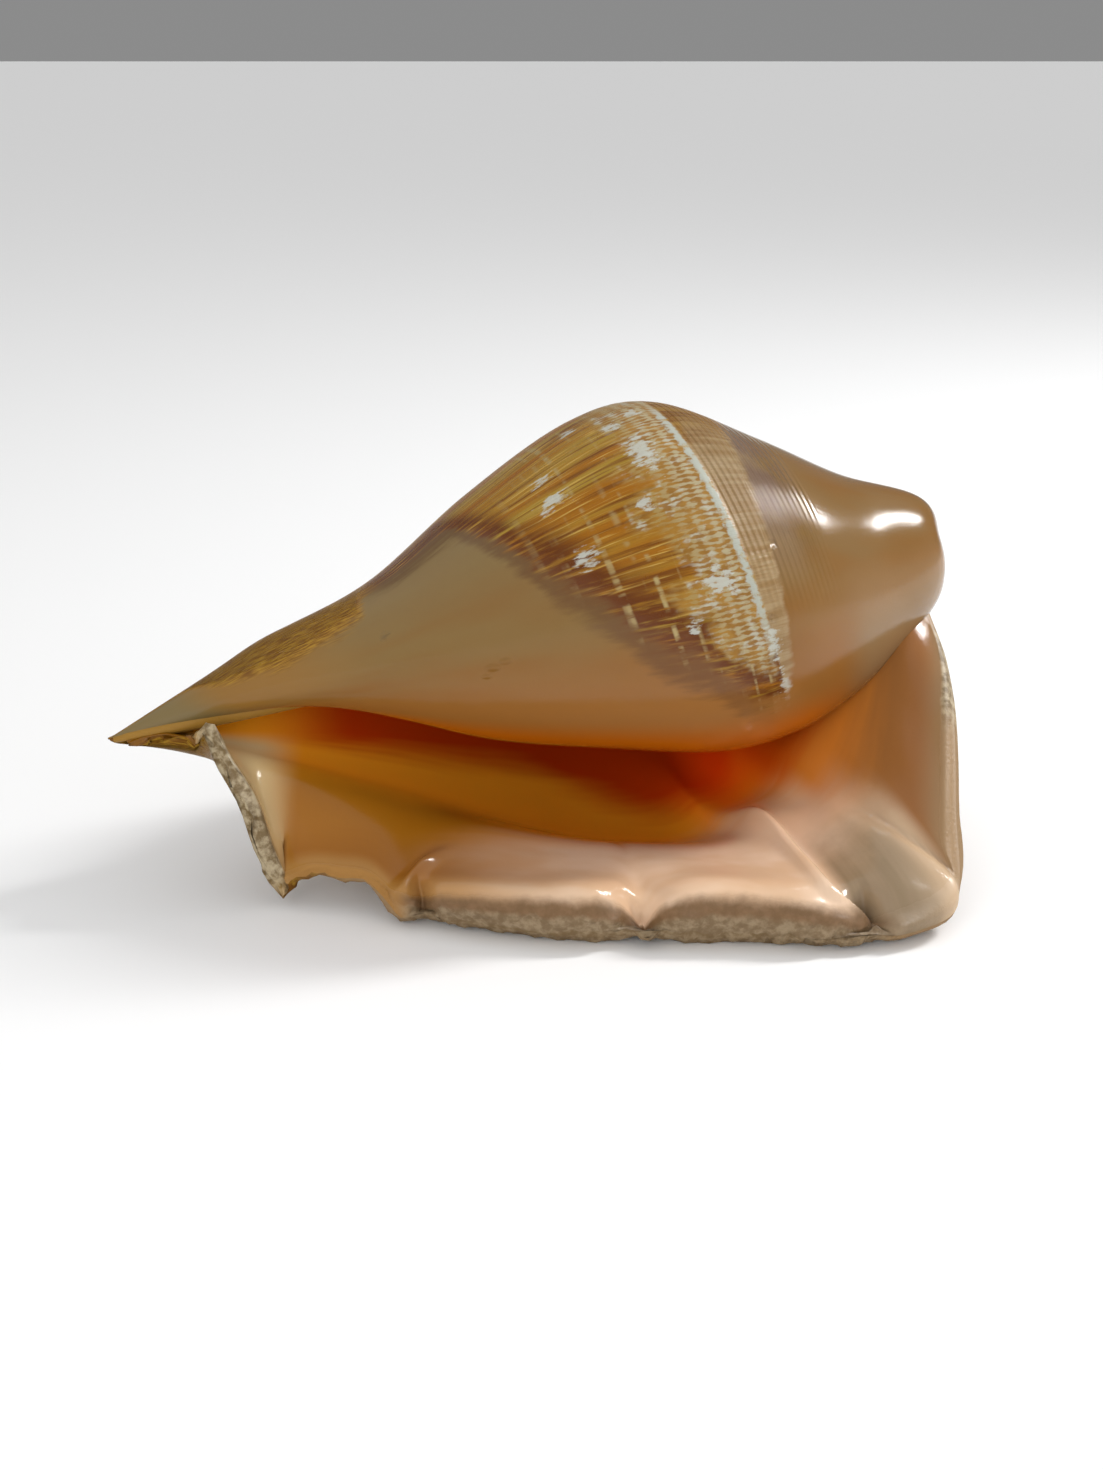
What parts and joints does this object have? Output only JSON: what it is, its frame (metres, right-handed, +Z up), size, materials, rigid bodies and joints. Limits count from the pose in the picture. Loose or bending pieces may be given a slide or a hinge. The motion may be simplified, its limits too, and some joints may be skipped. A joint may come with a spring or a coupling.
{
  "type": "conch shell",
  "caption": "Hollow spiral sea shell with a blunt knobbed spire, a flared lip with a thick lobed edge and a short curled canal, lying on its lip.",
  "frame": {"origin": "on the surface the shell lies on, under the middle of its box", "axes": "+X towards the spire end, +Y towards the back, away from the aperture, +Z up"},
  "size_m": [0.1945, 0.1149, 0.1078],
  "materials": {
    "shell": "glossy, porcelain-like shell with amber and brown growth bands, grainier on the lip's edge"
  },
  "bodies": {
    "root": {"shell": "shell"}
  },
  "joints": []
}
